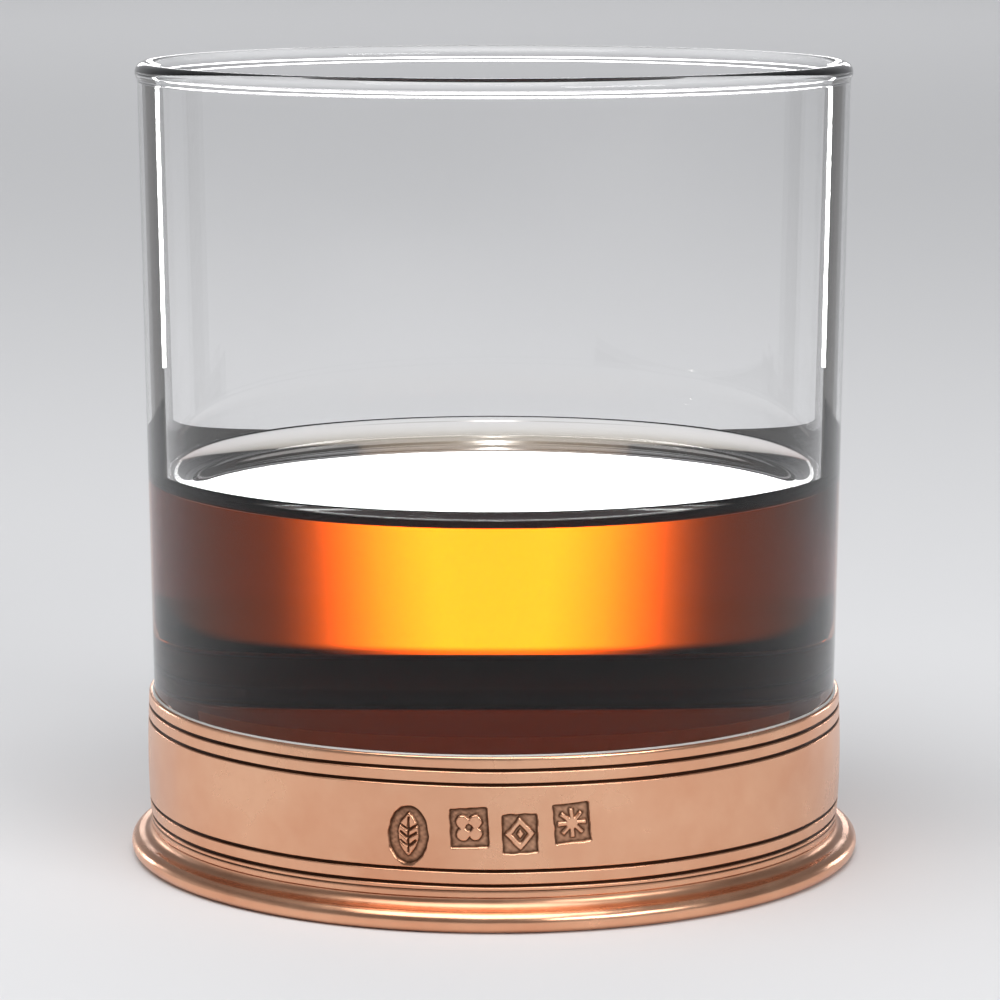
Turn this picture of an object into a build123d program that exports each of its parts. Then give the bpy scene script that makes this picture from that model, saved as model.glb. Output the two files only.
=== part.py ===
from build123d import *
import os
from math import asin, cos, degrees, radians, sin, sqrt

# A whisky tumbler: a clear glass with a thick bottom, bonded into a low copper-plated pewter base that has
# four incised lines and four struck marks, with a measure of whisky in it.
# Millimetres, +Z up. The origin is at the middle of the underside, and the struck marks face -Y.
# Every profile is drawn as (radius, height) on the XZ plane and turned about Z.

# Driving dimensions of the glass
overall_height = 90.0
rim_wall_radius = 39.97  # outside of the wall, just under the rim's bead
rim_wall_thickness = 2.0
bead_proud = 0.28  # how far the rim's bead stands out from the wall
bead_neck = 1.0  # radius of the hollow under the bead
shoulder_radius = 38.93  # outside of the wall, where it comes out of the collar
shoulder_height = 17.4
heel_radius = 38.3  # the bottom is drawn in, to sit inside the collar
heel_height = 13.0
heel_round = 3.2
glass_bottom = 3.6
punt_radius = 33.0  # hollow in the underside of the glass
punt_rise = 0.9
floor_height = 15.5
floor_crown = 0.4  # how much the bowl's floor rises in the middle
floor_radius = 36.7  # the bowl's wall, carried down to its floor
floor_round = 3.5

# Driving dimensions of the whisky
surface_height = 42.5
meniscus_rise = 2.2
meniscus_width = 4.5

# Driving dimensions of the pewter base
bond_gap = 0.12  # glue line between the glass and the collar
collar_top = 18.74
collar_foot = 4.2  # where the collar stands on the foot ring
collar_foot_radius = 39.42
collar_belly_radius = 39.70  # the band is very slightly barrelled
collar_lip_radius = 39.50
lip_round = 0.22
seam_chamfer = 0.12  # leaves the fine line between the collar and the foot ring
groove_heights = (17.32, 15.78, 6.42, 4.80)
groove_radius = 0.26
cove_top = 3.45
foot_round = 1.17  # the foot's half-round edge
foot_edge_radius = 41.70
foot_inner_radius = 36.6
plate_radius = 37.55
plate_bottom = 1.6
plate_top = 3.0
plate_clearance = 0.05
turned_line_radii = (11.0, 22.0, 33.0)
turned_line_radius = 0.15

# The struck marks: angle round the collar from the front, height, width, height of the mark, and tilt
mark_depth = 0.35
mark_reach = 1.0  # how far the cut starts outside the collar
leaf_mark = dict(angle=-13.3, height=10.15, size=(4.4, 6.3), tilt=-1.0)
flower_mark = dict(angle=-3.83, height=11.12, size=(4.1, 4.3), tilt=3.0)
lozenge_mark = dict(angle=3.98, height=10.47, size=(3.8, 4.3), tilt=2.0)
star_mark = dict(angle=12.03, height=11.48, size=(3.95, 4.3), tilt=4.0)

# Worked out from the dimensions above
bead_radius = (rim_wall_thickness + bead_proud) / 2
bead_centre = Vector(rim_wall_radius + bead_proud - bead_radius, overall_height - bead_radius)
bowl_rim_radius = bead_centre.X - bead_radius
collar_bore = heel_radius + bond_gap
foot_ring_bore = plate_radius + plate_clearance
foot_round_centre = Vector(foot_edge_radius - foot_round, foot_round)


def wall_radius(height):
    """Outside radius of the glass at a height above the shoulder."""
    share = (height - shoulder_height) / (bead_centre.Y - shoulder_height)
    return shoulder_radius + share * (rim_wall_radius - shoulder_radius)


def bowl_radius(height):
    """Inside radius of the glass at a height above the round of the bowl's floor."""
    share = (height - floor_height) / (bead_centre.Y - floor_height)
    return floor_radius + share * (bowl_rim_radius - floor_radius)


def draw_dome(radius, base, rise):
    """Draw a shallow dome's outline, from its edge at the height base up to its middle on the axis."""
    sphere = (radius**2 + rise**2) / (2 * rise)
    spread = degrees(asin(radius / sphere))
    CenterArc((0, base + rise - sphere), sphere, 90 - spread, spread)


def draw_bowl(top):
    """Draw the inside of the bowl, from its wall at the height top down to the middle of its floor."""
    wall_end = (bowl_radius(floor_height + floor_round), floor_height + floor_round)
    floor_start = (wall_end[0] - floor_round, floor_height)
    round_middle = (
        floor_start[0] + floor_round * sin(radians(45)),
        floor_height + floor_round * (1 - cos(radians(45))),
    )
    Line((bowl_radius(top), top), wall_end)
    ThreePointArc(wall_end, round_middle, floor_start)
    draw_dome(floor_start[0], floor_height, floor_crown)


def mark_plane(angle, height, tilt):
    """The plane of a struck mark, outside the collar, facing out and turned by the tilt."""
    outward = Vector(sin(radians(angle)), -cos(radians(angle)), 0)
    along = Vector(cos(radians(angle)), sin(radians(angle)), 0)
    at = outward * (collar_belly_radius + mark_reach) + Vector(0, 0, height)
    return Plane(origin=at, x_dir=along, z_dir=outward).rotated((0, 0, tilt))


# The glass: one blown and cut-off wall with a fire-polished bead, a thick bottom and a shallow punt
with BuildPart() as glass_tumbler:
    neck_reach = rim_wall_radius + bead_neck - bead_centre.X
    neck_drop = sqrt((bead_radius + bead_neck) ** 2 - neck_reach**2)
    neck_end = bead_centre + Vector(neck_reach, -neck_drop) * (bead_radius / (bead_radius + bead_neck))
    neck_start = Vector(rim_wall_radius, bead_centre.Y - neck_drop)
    with BuildSketch(Plane.XZ):
        with BuildLine():
            draw_dome(punt_radius, glass_bottom, punt_rise)
            Line((punt_radius, glass_bottom), (heel_radius - heel_round, glass_bottom))
            RadiusArc(
                (heel_radius - heel_round, glass_bottom),
                (heel_radius, glass_bottom + heel_round),
                -heel_round,
            )
            Line((heel_radius, glass_bottom + heel_round), (heel_radius, heel_height))
            Spline(
                (heel_radius, heel_height),
                (shoulder_radius, shoulder_height),
                tangents=((0, 1), (0, 1)),
            )
            Line((shoulder_radius, shoulder_height), neck_start)
            RadiusArc(neck_start, neck_end, bead_neck)
            ThreePointArc(
                neck_end,
                bead_centre + Vector(0, bead_radius),
                bead_centre - Vector(bead_radius, 0),
            )
            draw_bowl(bead_centre.Y)
            Line((0, floor_height + floor_crown), (0, glass_bottom + punt_rise))
        make_face()
    revolve(axis=Axis.Z)
glass_tumbler.part.label = "glass_tumbler"

# The whisky, up to its surface, with the meniscus that climbs the wall
with BuildPart() as whisky:
    contact_height = surface_height + meniscus_rise
    contact_radius = bowl_radius(contact_height)
    with BuildSketch(Plane.XZ):
        with BuildLine():
            draw_bowl(contact_height)
            Line((0, floor_height + floor_crown), (0, surface_height))
            Line((0, surface_height), (contact_radius - meniscus_width, surface_height))
            Bezier(
                (contact_radius - meniscus_width, surface_height),
                (contact_radius - 0.3 * meniscus_width, surface_height),
                (contact_radius - 0.05 * meniscus_width, surface_height + 0.3 * meniscus_rise),
                (contact_radius, contact_height),
            )
        make_face()
    revolve(axis=Axis.Z)
whisky.part.label = "whisky"

# The collar: a spun band round the bottom of the glass, with incised lines and struck marks
with BuildPart() as collar_band:
    lip_bore = wall_radius(collar_top) + bond_gap
    with BuildSketch(Plane.XZ) as section:
        with BuildLine():
            ThreePointArc(
                (collar_foot_radius, collar_foot),
                (collar_belly_radius, (collar_foot + collar_top) / 2),
                (collar_lip_radius, collar_top),
            )
            Line((collar_lip_radius, collar_top), (lip_bore, collar_top))
            Line((lip_bore, collar_top), (shoulder_radius + bond_gap, shoulder_height))
            Spline(
                (shoulder_radius + bond_gap, shoulder_height),
                (collar_bore, heel_height),
                tangents=((0, -1), (0, -1)),
            )
            Line((collar_bore, heel_height), (collar_bore, collar_foot))
            Line((collar_bore, collar_foot), (collar_foot_radius, collar_foot))
        make_face()
        lip_corners = section.vertices().group_by(Axis.Y)[-1]
        fillet(lip_corners.sort_by(Axis.X)[-1], lip_round)
        fillet(section.vertices().group_by(Axis.Y)[-1].sort_by(Axis.X)[0], lip_round * 0.6)
        chamfer(section.vertices().group_by(Axis.Y)[0].sort_by(Axis.X)[-1], seam_chamfer)
    revolve(axis=Axis.Z)
    for groove_height in groove_heights:
        rise = abs(groove_height - (collar_foot + collar_top) / 2) / (collar_top - collar_foot) * 2
        surface = collar_belly_radius - rise**2 * (collar_belly_radius - collar_lip_radius)
        with BuildSketch(Plane.XZ):
            with Locations((surface, groove_height)):
                Circle(groove_radius)
        revolve(axis=Axis.Z, mode=Mode.SUBTRACT)
    # An oval with a raised leaf, whose veins are sunk
    with BuildSketch(mark_plane(leaf_mark["angle"], leaf_mark["height"], leaf_mark["tilt"])) as leaf:
        width, height = leaf_mark["size"]
        Ellipse(width / 2, height / 2)
        with BuildSketch(mode=Mode.SUBTRACT):
            with BuildLine():
                ThreePointArc((0, -0.36 * height), (0.25 * width, 0), (0, 0.38 * height))
                ThreePointArc((0, 0.38 * height), (-0.25 * width, 0), (0, -0.36 * height))
            make_face()
            Rectangle(0.05 * width, 0.62 * height, mode=Mode.SUBTRACT)
            for vein_height in (-0.14, 0.0, 0.14):
                for side in (-1, 1):
                    with Locations((side * 0.11 * width, vein_height * height)):
                        Rectangle(0.24 * width, 0.045 * width, rotation=side * 35, mode=Mode.SUBTRACT)
    # A square with a raised flower of four petals
    with BuildSketch(
        mark_plane(flower_mark["angle"], flower_mark["height"], flower_mark["tilt"])
    ) as flower:
        width, height = flower_mark["size"]
        RectangleRounded(width, height, 0.25)
        with PolarLocations(0.23 * width, 4, start_angle=45):
            Circle(0.17 * width, mode=Mode.SUBTRACT)
        Circle(0.09 * width)
    # A square with a raised lozenge and a sunk one inside it
    with BuildSketch(
        mark_plane(lozenge_mark["angle"], lozenge_mark["height"], lozenge_mark["tilt"])
    ) as lozenge:
        width, height = lozenge_mark["size"]
        RectangleRounded(width, height, 0.25)
        for size, mode in ((0.42, Mode.SUBTRACT), (0.24, Mode.ADD), (0.1, Mode.SUBTRACT)):
            Polygon(
                (size * width, 0), (0, size * height), (-size * width, 0), (0, -size * height), mode=mode
            )
    # A square with a raised star of eight rays
    with BuildSketch(mark_plane(star_mark["angle"], star_mark["height"], star_mark["tilt"])) as star:
        width, height = star_mark["size"]
        RectangleRounded(width, height, 0.25)
        with PolarLocations(0, 4):
            Rectangle(0.78 * width, 0.1 * width, mode=Mode.SUBTRACT)
        Circle(0.16 * width, mode=Mode.SUBTRACT)
    for mark in (leaf, flower, lozenge, star):
        extrude(mark.sketch, amount=-(mark_reach + mark_depth), mode=Mode.SUBTRACT)
collar_band.part.label = "collar_band"

# The foot ring: a cove and a half-round edge outside, and a ledge inside for the base plate
with BuildPart() as foot_ring:
    cove_radius = cove_top - 2 * foot_round
    with BuildSketch(Plane.XZ) as section:
        with BuildLine():
            Line((foot_ring_bore, collar_foot), (collar_foot_radius, collar_foot))
            Line((collar_foot_radius, collar_foot), (collar_foot_radius, cove_top))
            RadiusArc(
                (collar_foot_radius, cove_top), (foot_round_centre.X, 2 * foot_round), cove_radius
            )
            ThreePointArc(
                (foot_round_centre.X, 2 * foot_round),
                (foot_edge_radius, foot_round),
                (foot_round_centre.X, 0),
            )
            Polyline(
                (foot_round_centre.X, 0),
                (foot_inner_radius, 0),
                (foot_inner_radius, plate_bottom),
                (foot_ring_bore, plate_bottom),
                (foot_ring_bore, collar_foot),
            )
        make_face()
        chamfer(section.vertices().group_by(Axis.Y)[-1].sort_by(Axis.X)[-1], seam_chamfer)
        fillet(section.vertices().group_by(Axis.Y)[0].sort_by(Axis.X)[0], 0.3)
    revolve(axis=Axis.Z)
foot_ring.part.label = "foot_ring"

# The base plate: a disc on the foot ring's ledge, with turned lines on its underside
with BuildPart() as base_plate:
    with BuildSketch(Plane.XY.offset(plate_bottom)):
        Circle(plate_radius)
    extrude(amount=plate_top - plate_bottom)
    for line_radius in turned_line_radii:
        with BuildSketch(Plane.XZ):
            with Locations((line_radius, plate_bottom)):
                Circle(turned_line_radius)
        revolve(axis=Axis.Z, mode=Mode.SUBTRACT)
base_plate.part.label = "base_plate"

# The glue under the glass: it fills the punt and squeezes out a little under the heel
with BuildPart() as adhesive_bed:
    with BuildSketch(Plane.XY.offset(plate_top)):
        Circle(heel_radius - heel_round + 0.5)
    extrude(amount=glass_bottom + punt_rise + 1.0 - plate_top)
    add(glass_tumbler.part, mode=Mode.SUBTRACT)
adhesive_bed.part.label = "adhesive_bed"

# The clear bead of glue that closes the gap between the glass and the collar's lip
with BuildPart() as adhesive_bead:
    glue_foot = collar_top - 0.7
    glue_top = collar_top + 0.16
    glue_edge = lip_bore + 0.6 * lip_round
    with BuildSketch(Plane.XZ):
        with BuildLine():
            Polyline(
                (glue_edge, collar_top),
                (glue_edge, glue_foot),
                (shoulder_radius - bond_gap, glue_foot),
                (shoulder_radius - bond_gap, glue_top),
                (wall_radius(glue_top), glue_top),
            )
            RadiusArc((wall_radius(glue_top), glue_top), (glue_edge, collar_top), 0.4)
        make_face()
    revolve(axis=Axis.Z)
    add(glass_tumbler.part, mode=Mode.SUBTRACT)
    add(collar_band.part, mode=Mode.SUBTRACT)
adhesive_bead.part.label = "adhesive_bead"

for piece in (
    glass_tumbler,
    whisky,
    collar_band,
    foot_ring,
    base_plate,
    adhesive_bed,
    adhesive_bead,
):
    export_step(piece.part, f"parts/{piece.part.label}.step")
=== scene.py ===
from math import asin, atan2, cos, degrees, hypot, pi, radians, sin, sqrt

import bpy
import numpy as np
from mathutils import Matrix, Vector


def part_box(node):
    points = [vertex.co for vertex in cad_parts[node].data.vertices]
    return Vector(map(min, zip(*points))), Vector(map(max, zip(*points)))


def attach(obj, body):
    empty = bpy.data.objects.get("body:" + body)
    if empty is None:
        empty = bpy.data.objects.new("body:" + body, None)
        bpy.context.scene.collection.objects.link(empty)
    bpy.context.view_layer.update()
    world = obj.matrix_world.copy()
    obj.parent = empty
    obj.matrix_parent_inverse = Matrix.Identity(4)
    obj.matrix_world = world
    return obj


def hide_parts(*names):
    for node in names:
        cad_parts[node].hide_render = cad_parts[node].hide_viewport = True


# A whisky tumbler with a copper-plated base. Blender remakes every piece as a fine turned mesh on the CAD
# model's dimensions. Profiles are lists of (radius, height) in millimetres, and MM turns them into metres.
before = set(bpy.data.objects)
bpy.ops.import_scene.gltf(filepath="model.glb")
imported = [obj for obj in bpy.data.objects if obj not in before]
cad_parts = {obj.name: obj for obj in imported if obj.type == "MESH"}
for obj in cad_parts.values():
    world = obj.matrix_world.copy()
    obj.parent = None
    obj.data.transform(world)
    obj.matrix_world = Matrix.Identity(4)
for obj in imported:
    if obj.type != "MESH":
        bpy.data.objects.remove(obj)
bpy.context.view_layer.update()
MM = 0.001


def node_span(node):
    """Outer radius, lowest and highest point of a CAD node, in millimetres."""
    low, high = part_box(node)
    return high.x / MM, low.z / MM, high.z / MM


RIM_RADIUS, GLASS_BOTTOM, GLASS_TOP = node_span("glass_tumbler")
BELLY_RADIUS, COLLAR_FOOT, COLLAR_TOP = node_span("collar_band")
FOOT_RADIUS, _, FOOT_TOP = node_span("foot_ring")
PLATE_RADIUS, PLATE_BOTTOM, PLATE_TOP = node_span("base_plate")
BED_RADIUS, _, _ = node_span("adhesive_bed")
_, _, CONTACT_HEIGHT = node_span("whisky")
_, _, GLUE_TOP = node_span("adhesive_bead")

# The glass, as in the CAD model
BEAD_PROUD = 0.28
WALL_THICKNESS = 2.0
BEAD_RADIUS = (WALL_THICKNESS + BEAD_PROUD) / 2
BEAD_NECK = 1.0
BEAD_CENTRE = (RIM_RADIUS - BEAD_RADIUS, GLASS_TOP - BEAD_RADIUS)
WALL_TOP_RADIUS = RIM_RADIUS - BEAD_PROUD
SHOULDER = (38.93, 17.4)
HEEL_RADIUS, HEEL_HEIGHT, HEEL_ROUND = 38.3, 13.0, 3.2
PUNT_RADIUS, PUNT_RISE = 33.0, 0.9
BOWL_FLOOR, BOWL_FLOOR_RADIUS, BOWL_ROUND, FLOOR_CROWN = 15.5, 36.7, 3.5, 0.4

# The whisky: its mesh goes a little way into the glass, so that light passes straight from one to the other
OVERLAP = 0.15
MENISCUS_RISE, MENISCUS_WIDTH = 2.2, 4.5
MENISCUS_CLIMB, MENISCUS_CLOSE = 2.6, 1.5  # how sharply it turns up the wall and closes in on it

# The collar, with its incised lines and struck marks
COLLAR_FOOT_RADIUS, COLLAR_LIP_RADIUS = 39.42, 39.50
COLLAR_BORE = 38.42
BOND_GAP = 0.12
LIP_ROUND = 0.22
INNER_ROUND = 0.6 * LIP_ROUND
GROOVES = (17.32, 15.78, 6.42, 4.80)
GROOVE_HALF_WIDTH, GROOVE_DEPTH = 0.27, 0.26
LINE_SWAY, LINE_UNEVENNESS = 0.04, 0.12  # how far the lines stray, and the share of their depth that varies
MARK_DEPTH = 0.35
MARKS_BOTTOM, MARKS_TOP, MARKS_LEFT, MARKS_RIGHT = 6.9, 13.9, -17.6, 15.6  # millimetres and degrees
SEAM_ROUND = 0.12
HAND = 0.06  # how far the outlines of the marks wander

# The foot ring and the base plate
COVE_TOP, FOOT_ROUND, FOOT_INNER_RADIUS, RING_BORE = 3.45, 1.17, 36.6, 37.6
FOOT_EDGE = 0.3
GLUE_SKIN = 0.004  # the air between the glue and what it touches
TURNED_LINES = (11.0, 22.0, 33.0)

FINE_TURN = 512  # columns round a turned piece


# Profiles


def line(start, end, steps=1):
    """Points from start to end, in even steps."""
    return [
        (start[0] + (end[0] - start[0]) * i / steps, start[1] + (end[1] - start[1]) * i / steps)
        for i in range(steps + 1)
    ]


def arc(centre, radius, start, end, steps):
    """Points round a centre, from one angle to another in degrees."""
    angles = [radians(start + (end - start) * i / steps) for i in range(steps + 1)]
    return [(centre[0] + radius * cos(a), centre[1] + radius * sin(a)) for a in angles]


def ease(start, end, steps):
    """Points of an S-curve that leaves start and reaches end straight up or down."""
    shares = [i / steps for i in range(steps + 1)]
    return [
        (start[0] + (end[0] - start[0]) * s * s * (3 - 2 * s), start[1] + (end[1] - start[1]) * s)
        for s in shares
    ]


def dome(radius, base, rise, steps):
    """Points of a shallow dome, from its edge to its middle on the axis."""
    sphere = (radius**2 + rise**2) / (2 * rise)
    spread = degrees(asin(radius / sphere))
    return arc((0, base + rise - sphere), sphere, 90 - spread, 90, steps)


def join(*stretches):
    """One profile from several stretches, without repeated points."""
    points = []
    for stretch in stretches:
        for point in stretch:
            if not points or hypot(point[0] - points[-1][0], point[1] - points[-1][1]) > 1e-4:
                points.append(point)
    return points


# Meshes


def turned_mesh(name, rings, angles):
    """A closed mesh from rings[row][column] = (radius, height) at each of the angles.

    A ring of no radius is one point on the axis. Rings that start on the axis end with the last one, and all
    others close by joining the last one to the first.
    """
    points, index = [], []
    for ring in rings:
        if max(radius for radius, _ in ring) < 1e-6:
            index.append([len(points)] * len(angles))
            points.append((0.0, 0.0, ring[0][1] * MM))
            continue
        index.append(range(len(points), len(points) + len(angles)))
        points += [
            (radius * sin(a) * MM, -radius * cos(a) * MM, height * MM)
            for (radius, height), a in zip(ring, angles)
        ]
    faces = []
    hollow = index[0][0] != index[0][1]
    for row in range(len(rings) if hollow else len(rings) - 1):
        lower, upper = index[row], index[(row + 1) % len(rings)]
        for column in range(len(angles)):
            after = (column + 1) % len(angles)
            corners = [lower[column], lower[after], upper[after], upper[column]]
            faces.append(list(dict.fromkeys(corners)))
    mesh = bpy.data.meshes.new(name)
    mesh.from_pydata(points, [], faces)
    mesh.validate()
    mesh.shade_smooth()
    piece = bpy.data.objects.new(name, mesh)
    bpy.context.scene.collection.objects.link(piece)
    return piece


def even_turn(columns):
    """The angles of a full turn, in even steps."""
    return [2 * pi * i / columns for i in range(columns)]


def turned(name, profile, columns=FINE_TURN):
    """A plain piece turned from a profile that goes anticlockwise, seen with the axis on its left."""
    return turned_mesh(name, [[point] * columns for point in profile], even_turn(columns))


# The glass and the whisky


def wall_radius(height):
    """Outside radius of the glass above its shoulder."""
    share = (height - SHOULDER[1]) / (BEAD_CENTRE[1] - SHOULDER[1])
    return SHOULDER[0] + share * (WALL_TOP_RADIUS - SHOULDER[0])


def bowl_radius(height):
    """Inside radius of the glass above the round of its floor."""
    share = (height - BOWL_FLOOR) / (BEAD_CENTRE[1] - BOWL_FLOOR)
    return BOWL_FLOOR_RADIUS + share * (BEAD_CENTRE[0] - BEAD_RADIUS - BOWL_FLOOR_RADIUS)


def bowl(top, outward=0.0):
    """The inside of the bowl from its wall down to the middle of its floor, moved outward into the glass."""
    round_centre = (bowl_radius(BOWL_FLOOR + BOWL_ROUND) - BOWL_ROUND, BOWL_FLOOR + BOWL_ROUND)
    return join(
        line(
            (bowl_radius(top) + outward, top),
            (round_centre[0] + BOWL_ROUND + outward, round_centre[1]),
            40,
        ),
        arc(round_centre, BOWL_ROUND + outward, 0, -90, 12),
        [(r, z - outward) for r, z in dome(round_centre[0], BOWL_FLOOR, FLOOR_CROWN, 14)],
    )


def glass_profile():
    """The glass from the middle of its punt, up the outside, over the beaded rim and down the bowl."""
    neck_reach = WALL_TOP_RADIUS + BEAD_NECK - BEAD_CENTRE[0]
    neck_drop = sqrt((BEAD_RADIUS + BEAD_NECK) ** 2 - neck_reach**2)
    neck_angle = degrees(atan2(neck_drop, neck_reach))
    neck_centre = (BEAD_CENTRE[0] + neck_reach, BEAD_CENTRE[1] - neck_drop)
    return join(
        reversed(dome(PUNT_RADIUS, GLASS_BOTTOM, PUNT_RISE, 14)),
        line((PUNT_RADIUS, GLASS_BOTTOM), (HEEL_RADIUS - HEEL_ROUND, GLASS_BOTTOM), 2),
        arc((HEEL_RADIUS - HEEL_ROUND, GLASS_BOTTOM + HEEL_ROUND), HEEL_ROUND, -90, 0, 12),
        line((HEEL_RADIUS, GLASS_BOTTOM + HEEL_ROUND), (HEEL_RADIUS, HEEL_HEIGHT), 5),
        ease((HEEL_RADIUS, HEEL_HEIGHT), SHOULDER, 10),
        line(SHOULDER, (WALL_TOP_RADIUS, neck_centre[1]), 44),
        arc(neck_centre, BEAD_NECK, 180, 180 - neck_angle, 6),
        arc(BEAD_CENTRE, BEAD_RADIUS, -neck_angle, 180, 26),
        bowl(BEAD_CENTRE[1]),
    )


def whisky_profile():
    """The drink from the middle of its floor, up the wall and back over the meniscus and the surface."""
    surface = CONTACT_HEIGHT - MENISCUS_RISE
    edge = bowl_radius(CONTACT_HEIGHT)
    steps = 24
    meniscus = []
    for i in range(steps + 1):
        share = i / steps
        reach = MENISCUS_WIDTH * (1 - share) ** MENISCUS_CLOSE
        meniscus.append((edge - reach, surface + MENISCUS_RISE * share**MENISCUS_CLIMB))
    return join(
        reversed(bowl(CONTACT_HEIGHT, OVERLAP)),
        reversed(meniscus),
        line((edge - MENISCUS_WIDTH, surface), (0, surface), 12),
    )


glass = turned("glass", glass_profile())
whisky = turned("whisky_drink", whisky_profile())


# The collar


def smooth(low, high, value):
    """0 below low, 1 above high and an even curve between them."""
    share = np.clip((value - low) / (high - low), 0, 1)
    return share * share * (3 - 2 * share)


def inside(distance, edge=0.07):
    """1 where the signed distance is well inside an outline, 0 outside it, with a rounded edge."""
    return 1 - smooth(-edge, edge, distance)


def square(u, v, width, height, corner=0.25):
    """Signed distance to an upright rectangle with rounded corners."""
    across, along = abs(u) - width / 2 + corner, abs(v) - height / 2 + corner
    outer = np.hypot(np.maximum(across, 0), np.maximum(along, 0))
    return outer + np.minimum(np.maximum(across, along), 0) - corner


def bar(u, v, width, height, turn):
    """Signed distance to a thin rectangle turned by an angle in degrees."""
    c, s = cos(radians(turn)), sin(radians(turn))
    return square(u * c + v * s, v * c - u * s, width, height, 0.02)


def cut(distance, *sunk):
    """Signed distance to an outline with other outlines cut out of it."""
    return np.maximum.reduce([distance, *[-other for other in sunk]])


def leaf_mark(u, v, width, height):
    """An oval with a raised leaf whose veins are sunk."""
    oval = (np.hypot(u / (width / 2), v / (height / 2)) - 1) * width / 2
    bulge, half = 0.25 * width, 0.37 * height
    circle = (half**2 + bulge**2) / (2 * bulge)
    blade = np.hypot(abs(u) + circle - bulge, v - 0.01 * height) - circle
    veins = [bar(u, v, 0.05 * width, 0.62 * height, 0)]
    for step in (-0.14, 0.0, 0.14):
        for side in (-1, 1):
            across, up = u - side * 0.11 * width, v - step * height
            veins.append(bar(across, up, 0.24 * width, 0.05 * width, side * 35))
    return oval, cut(blade, *veins)


def flower_mark(u, v, width, height):
    """A square with a raised flower of four petals."""
    petals = []
    for turn in (45, 135, 225, 315):
        at = 0.23 * width * cos(radians(turn)), 0.23 * width * sin(radians(turn))
        petals.append(np.hypot(u - at[0], v - at[1]) - 0.17 * width)
    eye = np.hypot(u, v) - 0.09 * width
    return square(u, v, width, height), cut(np.minimum.reduce(petals), eye)


def lozenge_mark(u, v, width, height):
    """A square with a raised lozenge, a sunk one inside it and a raised one in the middle."""
    from_middle = abs(u) / width + abs(v) / height
    outer, inner, core = [(from_middle - size) * width * 0.7 for size in (0.42, 0.24, 0.1)]
    return square(u, v, width, height), np.minimum(cut(outer, inner), core)


def star_mark(u, v, width, height):
    """A square with a raised star of eight rays."""
    rays = [bar(u, v, 0.78 * width, 0.1 * width, turn) for turn in (0, 45, 90, 135)]
    middle = np.hypot(u, v) - 0.16 * width
    return square(u, v, width, height), np.minimum.reduce([*rays, middle])


# Mark, angle round the collar, height, size, tilt, and how unevenly the punch sank across and up
MARKS = (
    (leaf_mark, -13.3, 10.15, (4.4, 6.3), -1.0, (-0.06, 0.05)),
    (flower_mark, -3.83, 11.12, (4.1, 4.3), 3.0, (0.05, 0.08)),
    (lozenge_mark, 3.98, 10.47, (3.8, 4.3), 2.0, (0.06, 0.06)),
    (star_mark, 12.03, 11.48, (3.95, 4.3), 4.0, (0.12, 0.06)),
)


def waver(a, b):
    """A smooth, repeatable unevenness between about -1 and 1."""
    return (np.sin(2.1 * a + 1.3 * b) + np.sin(3.7 * b - 1.9 * a + 2) + np.sin(5.3 * a + 4.1 * b + 4)) / 3


def struck(angle, height):
    """Depth of the struck marks, as a share of their full depth, and how dark they are: patina in the sunk
    field, with painted shade along its outline and round the raised motif.
    """
    depth, patina_and_shade = np.zeros_like(height), np.zeros_like(height)
    for mark, mark_angle, mark_height, size, tilt, lean in MARKS:
        across = BELLY_RADIUS * (angle - radians(mark_angle))
        up = height - mark_height
        c, s = cos(radians(tilt)), sin(radians(tilt))
        u, v = across * c + up * s, up * c - across * s
        u, v = u + HAND * waver(u, v + mark_angle), v + HAND * waver(v + 3, u - mark_angle)
        outline, motif = mark(u, v, *size)
        sunk, raised = inside(outline), inside(motif)
        pressed = np.clip(0.86 + lean[0] * u + lean[1] * v + 0.1 * waver(3 * u, 3 * v), 0.35, 1.1)
        depth = np.maximum(depth, sunk * (1 - 0.92 * raised) * pressed)
        # Painted shade: the sunk field darkens along its outline and round the raised motif, where shadow
        # falls; the cloud is the patina's own uneven tone.
        corners = np.maximum(np.exp(-((outline / 0.3) ** 2)), np.exp(-((motif / 0.2) ** 2)))
        cloud = 0.42 + 0.16 * waver(2 * v, 2 * u)
        patina_and_shade = np.maximum(patina_and_shade, sunk * (1 - raised) * (cloud + (1 - cloud) * corners))
    return depth, patina_and_shade


def by_hand(turn):
    """The uneven touch of hand finishing round the band, between about -1 and 1."""
    return (np.sin(3 * turn) + np.sin(7 * turn + 1) + np.sin(13 * turn + 2)) / 2.5


def groove_depth(height):
    """Depth of the incised lines, as a share of their full depth, with rounded bottoms."""
    depth = np.zeros_like(height)
    for groove in GROOVES:
        reach = np.clip(1 - abs(height - groove) / GROOVE_HALF_WIDTH, 0, 1)
        depth = np.maximum(depth, smooth(0, 0.85, reach))
    return depth


def belly(height):
    """Outside radius of the band: a shallow curve from its foot over its middle to its lip."""
    middle = (COLLAR_FOOT + COLLAR_TOP) / 2
    share = (height - middle) / (COLLAR_TOP - middle)
    end = np.where(share > 0, COLLAR_LIP_RADIUS, COLLAR_FOOT_RADIUS)
    return BELLY_RADIUS + share**2 * (end - BELLY_RADIUS)


def band_heights():
    """Heights of the band's rings: fine at the lines and through the marks, coarse elsewhere."""
    fine_groove, fine_mark, coarse = 0.035, 0.085, 0.3
    margin, stop_short = 0.1, 0.08
    start, stop = COLLAR_FOOT + SEAM_ROUND, COLLAR_TOP - LIP_ROUND
    heights, height = [], start
    while height < stop:
        heights.append(height)
        if any(abs(height - groove) < GROOVE_HALF_WIDTH + margin for groove in GROOVES):
            height += fine_groove
        elif MARKS_BOTTOM < height < MARKS_TOP:
            height += fine_mark
        else:
            edges = [groove - GROOVE_HALF_WIDTH - stop_short for groove in GROOVES if groove > height]
            to_next = min(edges, default=height + coarse) - height
            height += min(coarse, max(to_next, fine_groove))
    return [*heights, stop]


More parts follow.
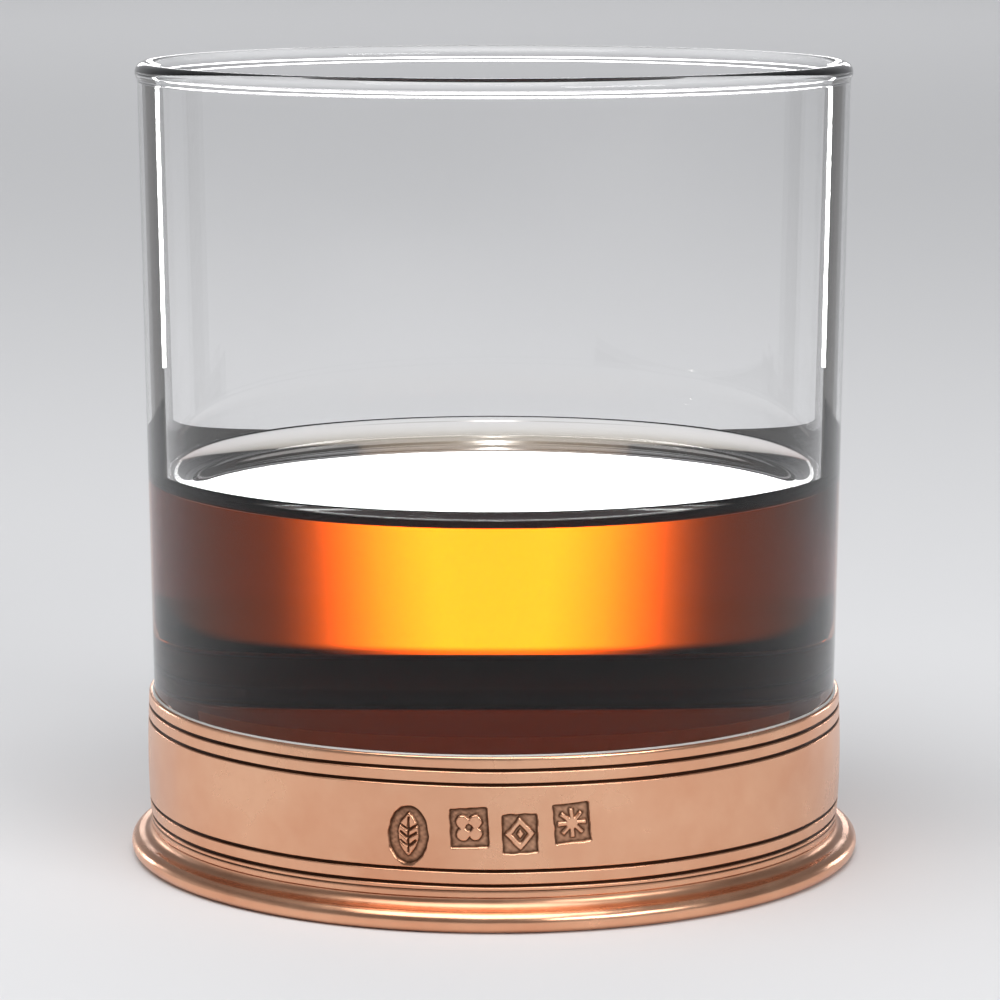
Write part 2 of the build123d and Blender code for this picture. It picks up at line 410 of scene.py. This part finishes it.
def band_angles():
    """Angles of the band's columns: fine across the marks, coarse elsewhere."""
    fine, coarse, back = 0.12, 1.5, MARKS_LEFT + 360
    front = np.arange(MARKS_LEFT, MARKS_RIGHT, fine)
    rest = np.linspace(MARKS_RIGHT, back, int((back - MARKS_RIGHT) / coarse), endpoint=False)
    return [radians(a) for a in (*front, *rest)]


def collar_rings(angles):
    """The collar's rings from the inside of its foot, round the outside and back down its bore."""
    lip_bore = wall_radius(COLLAR_TOP) + BOND_GAP
    turn = np.array(angles)
    around = (turn + pi) % (2 * pi) - pi
    rings, patina_and_shade_rows = [], []

    def plain(points, patina_and_shade=0.0):
        for point in points:
            rings.append([point] * len(angles))
            patina_and_shade_rows.append(np.full(len(angles), patina_and_shade))

    plain([(COLLAR_BORE, COLLAR_FOOT), ((COLLAR_BORE + COLLAR_FOOT_RADIUS) / 2, COLLAR_FOOT)], 0.8)
    plain(arc((COLLAR_FOOT_RADIUS - SEAM_ROUND, COLLAR_FOOT + SEAM_ROUND), SEAM_ROUND, -90, -15, 5), 0.8)
    for height in band_heights():
        level = np.full(len(angles), height)
        depth, dark = struck(around, level)
        groove = groove_depth(level + LINE_SWAY * by_hand(turn))
        groove *= 1 - LINE_UNEVENNESS + LINE_UNEVENNESS * by_hand(2 * turn)
        radius = belly(level) - groove * GROOVE_DEPTH - depth * MARK_DEPTH
        rings.append([(r, height) for r in radius])
        # Darkness of each vertex: patina in the incised lines and the marks, and painted shade along the
        # marks' edges.
        patina_and_shade_rows.append(np.maximum(dark, smooth(0.05, 0.6, groove)))
    lip_centre = (COLLAR_LIP_RADIUS - LIP_ROUND, COLLAR_TOP - LIP_ROUND)
    plain(arc(lip_centre, LIP_ROUND, 10, 90, 7))
    plain(arc((lip_bore + INNER_ROUND, COLLAR_TOP - INNER_ROUND), INNER_ROUND, 90, 180, 5))
    plain(line((lip_bore, COLLAR_TOP - INNER_ROUND - 0.1), (SHOULDER[0] + BOND_GAP, SHOULDER[1]), 2), 0.6)
    plain(ease((SHOULDER[0] + BOND_GAP, SHOULDER[1]), (COLLAR_BORE, HEEL_HEIGHT), 6)[1:], 0.6)
    plain(line((COLLAR_BORE, HEEL_HEIGHT), (COLLAR_BORE, COLLAR_FOOT), 3)[1:-1], 0.8)
    return rings, np.concatenate(patina_and_shade_rows)


def paint(piece, values):
    """Store how dark each vertex is, for the material to read: patina, and on the collar's marks also
    painted shade.
    """
    layer = piece.data.attributes.new("patina_and_shade", "FLOAT", "POINT")
    layer.data.foreach_set("value", np.asarray(values, np.float32))


collar_columns = band_angles()
collar_shape, collar_patina_and_shade = collar_rings(collar_columns)
collar = turned_mesh("collar", collar_shape, collar_columns)
paint(collar, collar_patina_and_shade)


# The foot ring, the base plate and the line of glue


def foot_profile():
    """The ring from the step above its bore, round its underside, the half-round edge and the cove."""
    cove_radius = COVE_TOP - 2 * FOOT_ROUND
    foot_centre = (FOOT_RADIUS - FOOT_ROUND, FOOT_ROUND)
    return join(
        line((RING_BORE, PLATE_BOTTOM), (FOOT_INNER_RADIUS, PLATE_BOTTOM), 2),
        line((FOOT_INNER_RADIUS, PLATE_BOTTOM), (FOOT_INNER_RADIUS, FOOT_EDGE), 3),
        arc((FOOT_INNER_RADIUS + FOOT_EDGE, FOOT_EDGE), FOOT_EDGE, 180, 270, 6),
        line((FOOT_INNER_RADIUS + FOOT_EDGE, 0), (foot_centre[0], 0), 5),
        arc(foot_centre, FOOT_ROUND, -90, 90, 36),
        arc((foot_centre[0], COVE_TOP), cove_radius, 270, 180, 16),
        line((COLLAR_FOOT_RADIUS, COVE_TOP), (COLLAR_FOOT_RADIUS, FOOT_TOP - SEAM_ROUND), 6),
        arc((COLLAR_FOOT_RADIUS - SEAM_ROUND, FOOT_TOP - SEAM_ROUND), SEAM_ROUND, 0, 90, 5),
        line((COLLAR_FOOT_RADIUS - SEAM_ROUND, FOOT_TOP), (RING_BORE, FOOT_TOP), 3),
        line((RING_BORE, FOOT_TOP), (RING_BORE, PLATE_BOTTOM), 4)[:-1],
    )


def plate_profile():
    """The disc, from the middle of its underside out and back over the top, with its turned lines."""
    line_radius, edge, before_line, after_line = 0.15, 0.1, 0.05, 0.5
    underside = [(0, PLATE_BOTTOM)]
    for groove in TURNED_LINES:
        start, end = underside[-1][0] + after_line, groove - line_radius - before_line
        underside += line((start, PLATE_BOTTOM), (end, PLATE_BOTTOM), 4)
        underside += arc((groove, PLATE_BOTTOM), line_radius, 180, 0, 9)
    return join(
        underside,
        line((TURNED_LINES[-1] + after_line, PLATE_BOTTOM), (PLATE_RADIUS - edge, PLATE_BOTTOM), 4),
        arc((PLATE_RADIUS - edge, PLATE_BOTTOM + edge), edge, -90, 0, 4),
        line((PLATE_RADIUS, PLATE_BOTTOM + edge), (PLATE_RADIUS, PLATE_TOP), 2),
        line((PLATE_RADIUS, PLATE_TOP), (0, PLATE_TOP), 8),
    )


def glue_profile():
    """The bead of glue in the gap at the lip, hollow on top."""
    bore = wall_radius(COLLAR_TOP) + BOND_GAP
    bottom, bend, steps = COLLAR_TOP - 0.4, 1.6, 8
    start = (bore + INNER_ROUND, COLLAR_TOP - 0.01)
    end = (wall_radius(GLUE_TOP) + GLUE_SKIN, GLUE_TOP)
    wide, tall = end[0] - start[0], end[1] - start[1]
    shares = [i / steps for i in range(steps + 1)]
    hollow = [(start[0] + wide * (1 - (1 - s) ** bend), start[1] + tall * s**bend) for s in shares]
    inner, outer = wall_radius(bottom) + GLUE_SKIN, wall_radius(bottom) + BOND_GAP - GLUE_SKIN
    return join(
        line((inner, bottom), (outer, bottom)),
        [(bore - GLUE_SKIN, COLLAR_TOP - INNER_ROUND)],
        hollow,
        line(end, (inner, bottom), 3)[:-1],
    )


def bed_profile():
    """The layer of glue between the plate and the glass, a hair's breadth below the glass."""
    hair = 0.02
    top = GLASS_BOTTOM - hair
    return join(
        line((0, PLATE_TOP), (BED_RADIUS, PLATE_TOP), 4),
        line((BED_RADIUS, top), (PUNT_RADIUS, top)),
        dome(PUNT_RADIUS, top, PUNT_RISE, 14),
    )


foot = turned("foot", foot_profile())
plate = turned("plate", plate_profile(), 192)
glue = turned("glue_line", glue_profile())
bed = turned("glue_bed", bed_profile(), 128)


def patina_by_height(piece, dark_from):
    """Patina that gathers where dark_from(radius, height) says."""
    values = []
    for vertex in piece.data.vertices:
        radius, height = hypot(vertex.co.x, vertex.co.y) / MM, vertex.co.z / MM
        values.append(dark_from(radius, height))
    paint(piece, values)


def foot_patina(radius, height):
    """Dark along the seam under the collar, and a little in the cove, on the outside only."""
    cove_height, outside = 2.9, 39.0
    seam = 1 - smooth(0.0, 0.28, abs(height - FOOT_TOP))
    cove = (1 - smooth(0.1, 0.8, abs(height - cove_height))) * (radius > outside)
    return max(0.8 * seam, 0.35 * cove)


def plate_patina(_, height):
    """Dark in the turned lines of the underside, and above them."""
    return 0.7 * smooth(0.02, 0.1, height - PLATE_BOTTOM)


patina_by_height(foot, foot_patina)
patina_by_height(plate, plate_patina)


# Materials


def new_material(name, values=()):
    """A material with constant values on its Principled shader."""
    material = bpy.data.materials.new(name)
    material.use_nodes = True
    tree = material.node_tree
    shader = tree.nodes["Principled BSDF"]
    for socket, value in dict(values).items():
        shader.inputs[socket].default_value = value
    return material, tree, shader


def add(tree, kind, values=(), **settings):
    """A node with its settings and its unlinked inputs, by name or number."""
    made = tree.nodes.new(kind)
    for key, value in settings.items():
        setattr(made, key, value)
    for key, value in dict(values).items():
        made.inputs[key].default_value = value
    return made


def math_node(tree, operation, first, second=None):
    """The result of an operation on one or two values, each a number or another node's output."""
    made = add(tree, "ShaderNodeMath", operation=operation)
    for socket, value in zip(made.inputs, (first, second)):
        if isinstance(value, (int, float)):
            socket.default_value = value
        elif value is not None:
            tree.links.new(value, socket)
    return made.outputs[0]


def noise(tree, vector, scale, detail, roughness):
    """Noise at a place, between 0 and 1."""
    made = add(tree, "ShaderNodeTexNoise", {"Scale": scale, "Detail": detail, "Roughness": roughness})
    tree.links.new(vector, made.inputs["Vector"])
    return made.outputs["Fac"]


def bump(tree, height, strength, distance):
    """A bump node, whose own normal input is still free."""
    made = add(tree, "ShaderNodeBump", {"Strength": strength, "Distance": distance})
    tree.links.new(height, made.inputs["Height"])
    return made


def turned_lines(tree, place):
    """Fine lines that run round the axis, as a lathe leaves them."""
    lines_per_metre = 2600.0
    split = add(tree, "ShaderNodeSeparateXYZ")
    tree.links.new(place, split.inputs[0])
    x, y, height = split.outputs
    turn = math_node(tree, "ARCTAN2", x, math_node(tree, "MULTIPLY", y, -1.0))
    squares = [math_node(tree, "POWER", side, 2.0) for side in (x, y)]
    radius = math_node(tree, "SQRT", math_node(tree, "ADD", *squares))
    along = add(tree, "ShaderNodeCombineXYZ")
    tree.links.new(math_node(tree, "SINE", turn), along.inputs[0])
    tree.links.new(math_node(tree, "COSINE", turn), along.inputs[1])
    outward = math_node(tree, "ADD", height, radius)
    tree.links.new(math_node(tree, "MULTIPLY", outward, lines_per_metre), along.inputs[2])
    return noise(tree, along.outputs[0], 1.6, 4.0, 0.6)


def copper_tone(tree, mottle, patina_and_shade):
    """Copper that goes from a deeper tone to a paler one in clouds, and nearly black where patina and
    painted shade are full.
    """
    tone = add(tree, "ShaderNodeValToRGB")
    deep, pale = tone.color_ramp.elements
    deep.position, deep.color = 0.32, (0.75, 0.362, 0.213, 1)
    pale.position, pale.color = 0.68, (0.89, 0.51, 0.325, 1)
    tree.links.new(mottle, tone.inputs["Fac"])
    dark = add(tree, "ShaderNodeMix", data_type="RGBA")
    factor, under, over = dark.inputs[0], dark.inputs[6], dark.inputs[7]
    over.default_value = (0.045, 0.018, 0.009, 1)
    tree.links.new(patina_and_shade, factor)
    tree.links.new(tone.outputs["Color"], under)
    return dark.outputs[2]


def copper_material(name):
    """Copper plating, polished but softly mottled, with fine turned lines, dark patina in its hollows and
    painted shade at the edges of the struck marks.
    """
    material, tree, shader = new_material(name, {"Metallic": 1.0})
    place = add(tree, "ShaderNodeTexCoord").outputs["Object"]
    patina_and_shade = add(tree, "ShaderNodeAttribute", attribute_name="patina_and_shade").outputs["Fac"]
    mottle = noise(tree, place, 60.0, 6.0, 0.62)
    tree.links.new(copper_tone(tree, mottle, patina_and_shade), shader.inputs["Base Color"])
    rough = add(tree, "ShaderNodeMapRange", {"From Min": 0.3, "From Max": 0.7, "To Min": 0.2, "To Max": 0.3})
    tree.links.new(mottle, rough.inputs["Value"])
    rougher = math_node(tree, "ADD", rough.outputs["Result"], math_node(tree, "MULTIPLY", patina_and_shade, 0.25))
    tree.links.new(rougher, shader.inputs["Roughness"])
    waves = bump(tree, noise(tree, place, 150.0, 1.5, 0.4), 0.6, 0.0004)
    lines = bump(tree, turned_lines(tree, place), 0.12, 0.00002)
    tree.links.new(waves.outputs["Normal"], lines.inputs["Normal"])
    tree.links.new(lines.outputs["Normal"], shader.inputs["Normal"])
    return material


def glass_material(name, tint):
    """Clear glass, which reflects more or less of what is in front of it by its tint."""
    values = {
        "Base Color": (1, 1, 1, 1),
        "Roughness": 0.0,
        "IOR": 1.5,
        "Transmission Weight": 1.0,
        "Specular Tint": (tint, tint, tint, 1),
    }
    return new_material(name, values)[0]


def painted_underside_material():
    """The underside of the glass, glued to the metal: an opaque, painted stand-in for the metal seen through
    glue and glass, painted dark as shade.
    """
    values = {"Base Color": (0.13, 0.035, 0.018, 1), "Metallic": 0.7, "Roughness": 0.45}
    return new_material("bonded_underside_painted_shade", values)[0]


def whisky_material():
    """Deep amber whisky. The colour is all in the depth of liquid that light crosses."""
    values = {
        "Base Color": (1, 1, 1, 1),
        "Roughness": 0.0,
        "IOR": 1.36,
        "Transmission Weight": 1.0,
        "Specular Tint": (0, 0, 0, 1),
    }
    material, tree, _ = new_material("whisky", values)
    depth = add(tree, "ShaderNodeVolumeAbsorption")
    depth.inputs["Color"].default_value = (0.892, 0.595, 0.08, 1)
    depth.inputs["Density"].default_value = 100.0
    tree.links.new(depth.outputs[0], tree.nodes["Material Output"].inputs["Volume"])
    return material


def glue_material():
    """Clear glue, a little milky, which shows as a thin silvery line."""
    values = {
        "Base Color": (0.85, 0.85, 0.82, 1),
        "Roughness": 0.18,
        "IOR": 1.48,
        "Transmission Weight": 0.45,
    }
    return new_material("clear_glue", values)[0]


copper = copper_material("copper_plate")
glue_clear = glue_material()
clear = glass_material("clear_glass", 0.55)
wet = glass_material("wet_glass", 0.0)  # where the whisky touches it, the two reflect next to nothing
for material in (clear, wet, painted_underside_material()):
    glass.data.materials.append(material)
WET, BONDED = 1, 2
SKIN, HEEL_MARGIN = 0.1, 1.5
# Faces that the whisky touches get the wet glass; the glued underside gets the painted dark metal, which
# stands in for the shaded plate seen through glue and glass.
for face in glass.data.polygons:
    centre = face.center / MM
    radius = hypot(centre.x, centre.y)
    if radius < bowl_radius(centre.z) + SKIN and BOWL_FLOOR - SKIN < centre.z < CONTACT_HEIGHT:
        face.material_index = WET
    elif centre.z < GLASS_BOTTOM + PUNT_RISE and radius < HEEL_RADIUS - HEEL_MARGIN:
        face.material_index = BONDED
whisky.data.materials.append(whisky_material())
for piece in (collar, foot, plate):
    piece.data.materials.append(copper)
for piece in (glue, bed):
    piece.data.materials.append(glue_clear)

# What each piece stands for
for piece, node, slot in (
    (glass, "glass_tumbler", "clear_glass"),
    (whisky, "whisky", "whisky"),
    (collar, "collar_band", "copper_plate"),
    (foot, "foot_ring", "copper_plate"),
    (plate, "base_plate", "copper_plate"),
    (glue, "adhesive_bead", "clear_adhesive"),
    (bed, "adhesive_bed", "clear_adhesive"),
):
    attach(piece, "root")
    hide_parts(node)


# The stage: a pale floor that curves up all round, soft lights, and cards that only light which has passed
# through the glass can see


def floor_material():
    """A matt, pale floor, without a gloss that would mirror the lights."""
    values = {"Base Color": (0.70, 0.70, 0.71, 1), "Roughness": 0.6, "Specular IOR Level": 0.0}
    return new_material("pale_floor", values)[0]


def make_floor():
    """A wide dish, flat in the middle, so that no horizon shows from any side."""
    flat, bend, wall = 3000.0, 1500.0, 3500.0
    profile = join(
        [(0, 0), (250, 0), (1000, 0)],
        arc((flat, bend), bend, -90, 0, 24),
        [(flat + bend, wall)],
    )
    made = turned("floor", profile, 96)
    made.data.materials.append(floor_material())


def slant(tree, direction):
    """0 for light that travels along a direction, up to 1 for light that travels square to it."""
    aim = add(tree, "ShaderNodeCombineXYZ", dict(enumerate(direction)))
    weight = add(tree, "ShaderNodeLayerWeight", {"Blend": 0.5})
    tree.links.new(aim.outputs[0], weight.inputs["Normal"])
    return weight.outputs["Facing"]


def squareness(tree, azimuth, rise):
    """How squarely light meets a card, as the cosine of its angle to a direction given in degrees."""
    a, e = radians(azimuth), radians(rise)
    return math_node(tree, "SUBTRACT", 1.0, slant(tree, (sin(a) * cos(e), -cos(a) * cos(e), sin(e))))


def step_up(tree, value, low, high):
    """0 below low, 1 above high and an even curve between them."""
    limits = {"From Min": low, "From Max": high}
    edge = add(tree, "ShaderNodeMapRange", limits, interpolation_type="SMOOTHSTEP")
    tree.links.new(value, edge.inputs["Value"])
    return edge.outputs["Result"]


def side_falloff(tree, distance, core, reach):
    """1 within the core and then an exponential fall over the reach, both in metres from the middle."""
    beyond = math_node(tree, "MAXIMUM", math_node(tree, "SUBTRACT", distance, core), 0.0)
    return math_node(tree, "EXPONENT", math_node(tree, "MULTIPLY", beyond, -1 / reach))


def card_material(name, strength, steepest):
    """A glow of some strength for light that travels fairly level, and nothing for steeper light."""
    material = bpy.data.materials.new(name)
    material.use_nodes = True
    tree = material.node_tree
    tree.nodes.clear()
    glow = add(tree, "ShaderNodeEmission", {"Color": (1.0, 0.96, 0.93, 1)})
    tree.links.new(strength(tree), glow.inputs["Strength"])
    mix = add(tree, "ShaderNodeMixShader")
    levelness = slant(tree, (0.0, 0.0, 1.0))
    tree.links.new(step_up(tree, levelness, 1 - steepest, 1 - 0.85 * steepest), mix.inputs[0])
    tree.links.new(add(tree, "ShaderNodeBsdfTransparent").outputs[0], mix.inputs[1])
    tree.links.new(glow.outputs[0], mix.inputs[2])
    out = add(tree, "ShaderNodeOutputMaterial")
    tree.links.new(mix.outputs[0], out.inputs["Surface"])
    return material


def make_card(name, azimuth, distance, sides, ends, strength, steepest=0.32):
    """An upright card behind the tumbler, as seen from an azimuth, which only light through the glass sees.

    Its steepest is the slope past which light doesn't see it, as the sine of an angle.
    """
    mesh = bpy.data.meshes.new(name)
    (left, right), (bottom, top) = sides, ends
    corners = [(left, bottom), (right, bottom), (right, top), (left, top)]
    mesh.from_pydata([(x, distance, z) for x, z in corners], [], [(0, 1, 2, 3)])
    mesh.validate()
    card = bpy.data.objects.new(name, mesh)
    bpy.context.scene.collection.objects.link(card)
    card.rotation_euler.z = radians(azimuth)
    mesh.materials.append(card_material(name + "_glow", strength, steepest))
    card.visible_camera = False
    card.visible_diffuse = False
    card.visible_glossy = False
    card.visible_shadow = False


def drink_card(name, azimuth, half_width, bottom, top, foot, **limit):
    """A card that lights the drink through: a narrow hot middle, with a dim glow beside it."""
    hot, hot_core, hot_reach, hot_rise, hot_from, hot_fully = 14.0, 0.0002, 0.00125, 35, 0.76, 0.81
    dim, dim_reach, soft_foot, distance = 0.34, 0.02, 0.002, 0.09

    def strength(tree):
        split = add(tree, "ShaderNodeSeparateXYZ")
        tree.links.new(add(tree, "ShaderNodeTexCoord").outputs["Object"], split.inputs[0])
        across, _, height = split.outputs
        off_middle = math_node(tree, "ABSOLUTE", across)
        middle = math_node(tree, "MULTIPLY", side_falloff(tree, off_middle, hot_core, hot_reach), hot)
        squarely = step_up(tree, squareness(tree, azimuth, hot_rise), hot_from, hot_fully)
        middle = math_node(tree, "MULTIPLY", middle, squarely)
        beside = math_node(tree, "MULTIPLY", side_falloff(tree, off_middle, 0.0, dim_reach), dim)
        both = math_node(tree, "ADD", middle, beside)
        return math_node(tree, "MULTIPLY", both, step_up(tree, height, foot, foot + soft_foot))

    make_card(name, azimuth, distance, (-half_width, half_width), (bottom, top), strength, **limit)


def edge_flag(name, side):
    """A dark card behind and beside the glass, which draws the edge of its wall."""
    near, far, distance, height, grey = 0.109, 0.2, 0.2, 0.085, 0.1

    def strength(tree):
        made = add(tree, "ShaderNodeValue")
        made.outputs[0].default_value = grey
        return made.outputs[0]

    make_card(name, 0, distance, sorted((side * near, side * far)), (0.0, height), strength)


def area_light(name, place, target, size, radiance, hidden_from=()):
    """A rectangular light that the camera doesn't see, nor any kind of light that it is hidden from."""
    data = bpy.data.lights.new(name, "AREA")
    data.shape = "RECTANGLE"
    data.size, data.size_y = size
    data.energy = radiance * pi * size[0] * size[1]
    light = bpy.data.objects.new(name, data)
    bpy.context.scene.collection.objects.link(light)
    light.location = place
    light.rotation_euler = (Vector(target) - Vector(place)).to_track_quat("-Z", "Y").to_euler()
    for kind in ("camera", *hidden_from):
        setattr(light, "visible_" + kind, False)


def make_world(strength):
    """Dim, slightly cool light from all round."""
    world = bpy.data.worlds.new("studio")
    world.use_nodes = True
    background = world.node_tree.nodes["Background"]
    background.inputs["Color"].default_value = (0.93, 0.96, 1.0, 1)
    background.inputs["Strength"].default_value = strength
    bpy.context.scene.world = world


make_floor()
make_world(0.28)

# Cards of two heights light the drink from behind, as the photograph's camera and lower ones need
PHOTO_TOP, LOW_TOP, LOW_STEEPEST = 0.0355, 0.039, 0.124
drink_card("front_card", 0, 0.11, bottom=0.0, top=PHOTO_TOP, foot=0.0085)
drink_card("front_card_top", 0, 0.11, bottom=PHOTO_TOP, top=LOW_TOP, foot=0.0, steepest=LOW_STEEPEST)
drink_card("side_card", 90, 0.1, bottom=0.0, top=LOW_TOP, foot=0.0, steepest=LOW_STEEPEST)
edge_flag("left_flag", -1)
edge_flag("right_flag", 1)

# Lights: a softbox above, one in front, a strip behind each side of the glass, a low panel that the drink's
# surface mirrors, and two lights for the far parts of the dish
MIDDLE, STRIP_HEIGHT, PANEL_HEIGHT = (0, 0, 0.045), 0.04, 0.186
area_light("top_softbox", (-0.1, -0.42, 1.05), MIDDLE, (1.0, 0.8), 3.8, ("transmission",))
area_light("front_right", (0.6, -0.75, 0.5), MIDDLE, (0.6, 0.22), 10, ("transmission",))
for name, x in (("left_strip", -0.33), ("right_strip", 0.33)):
    place, target = (x, 0.3, STRIP_HEIGHT), (0, 0, STRIP_HEIGHT)
    area_light(name, place, target, (0.03, 0.08), 16, ("diffuse", "transmission"))
area_light("back_panel", (0, 1.0, PANEL_HEIGHT), (0, 0, PANEL_HEIGHT), (0.5, 0.076), 5, ("diffuse",))
for name, x, y in (("far_light", 0, 2.6), ("side_light", -2.6, 0)):
    area_light(name, (x, y, 1.9), (x, y, 0), (2.2, 2.2), 1.6, ("glossy", "transmission"))

# The camera: the photograph's place, angle and lens
camera_data = bpy.data.cameras.new("camera")
camera_data.lens = 146.2
camera_data.sensor_width = 36.0
camera_data.clip_start = 0.01
camera = bpy.data.objects.new("camera", camera_data)
bpy.context.scene.collection.objects.link(camera)
camera.location = (0, -0.4582, 0.1117)
camera.rotation_euler = (radians(90 - 8.89), 0, radians(-0.085))
bpy.context.scene.camera = camera
bpy.context.scene.view_settings.view_transform = "Standard"
